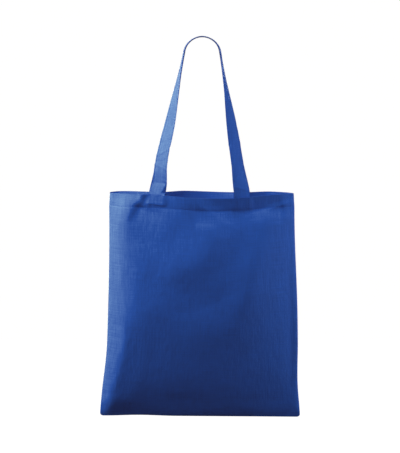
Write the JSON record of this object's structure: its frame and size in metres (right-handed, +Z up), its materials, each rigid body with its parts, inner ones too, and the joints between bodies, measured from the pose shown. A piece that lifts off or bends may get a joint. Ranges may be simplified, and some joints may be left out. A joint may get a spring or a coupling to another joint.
{
  "type": "cotton shopping bag with long handles",
  "caption": "Flat woven cotton shopping bag with a turned hem and long strap handles, shown hanging by its handles with the body slightly filled out.",
  "frame": {"origin": "the hang point: the middle of the underside of the handles, side by side where they loop over what holds them", "axes": "+Z up, -Y towards the front of the bag, +X to the right seen from the front"},
  "size_m": [0.38, 0.081, 0.7198],
  "materials": {
    "body_cotton": "plain woven royal blue cotton, matt",
    "strap_cotton": "folded and stitched strap of the same royal blue cotton, matt"
  },
  "bodies": {
    "root": {"bag_body": "body_cotton", "handle_front": "strap_cotton", "handle_back": "strap_cotton"}
  },
  "joints": []
}
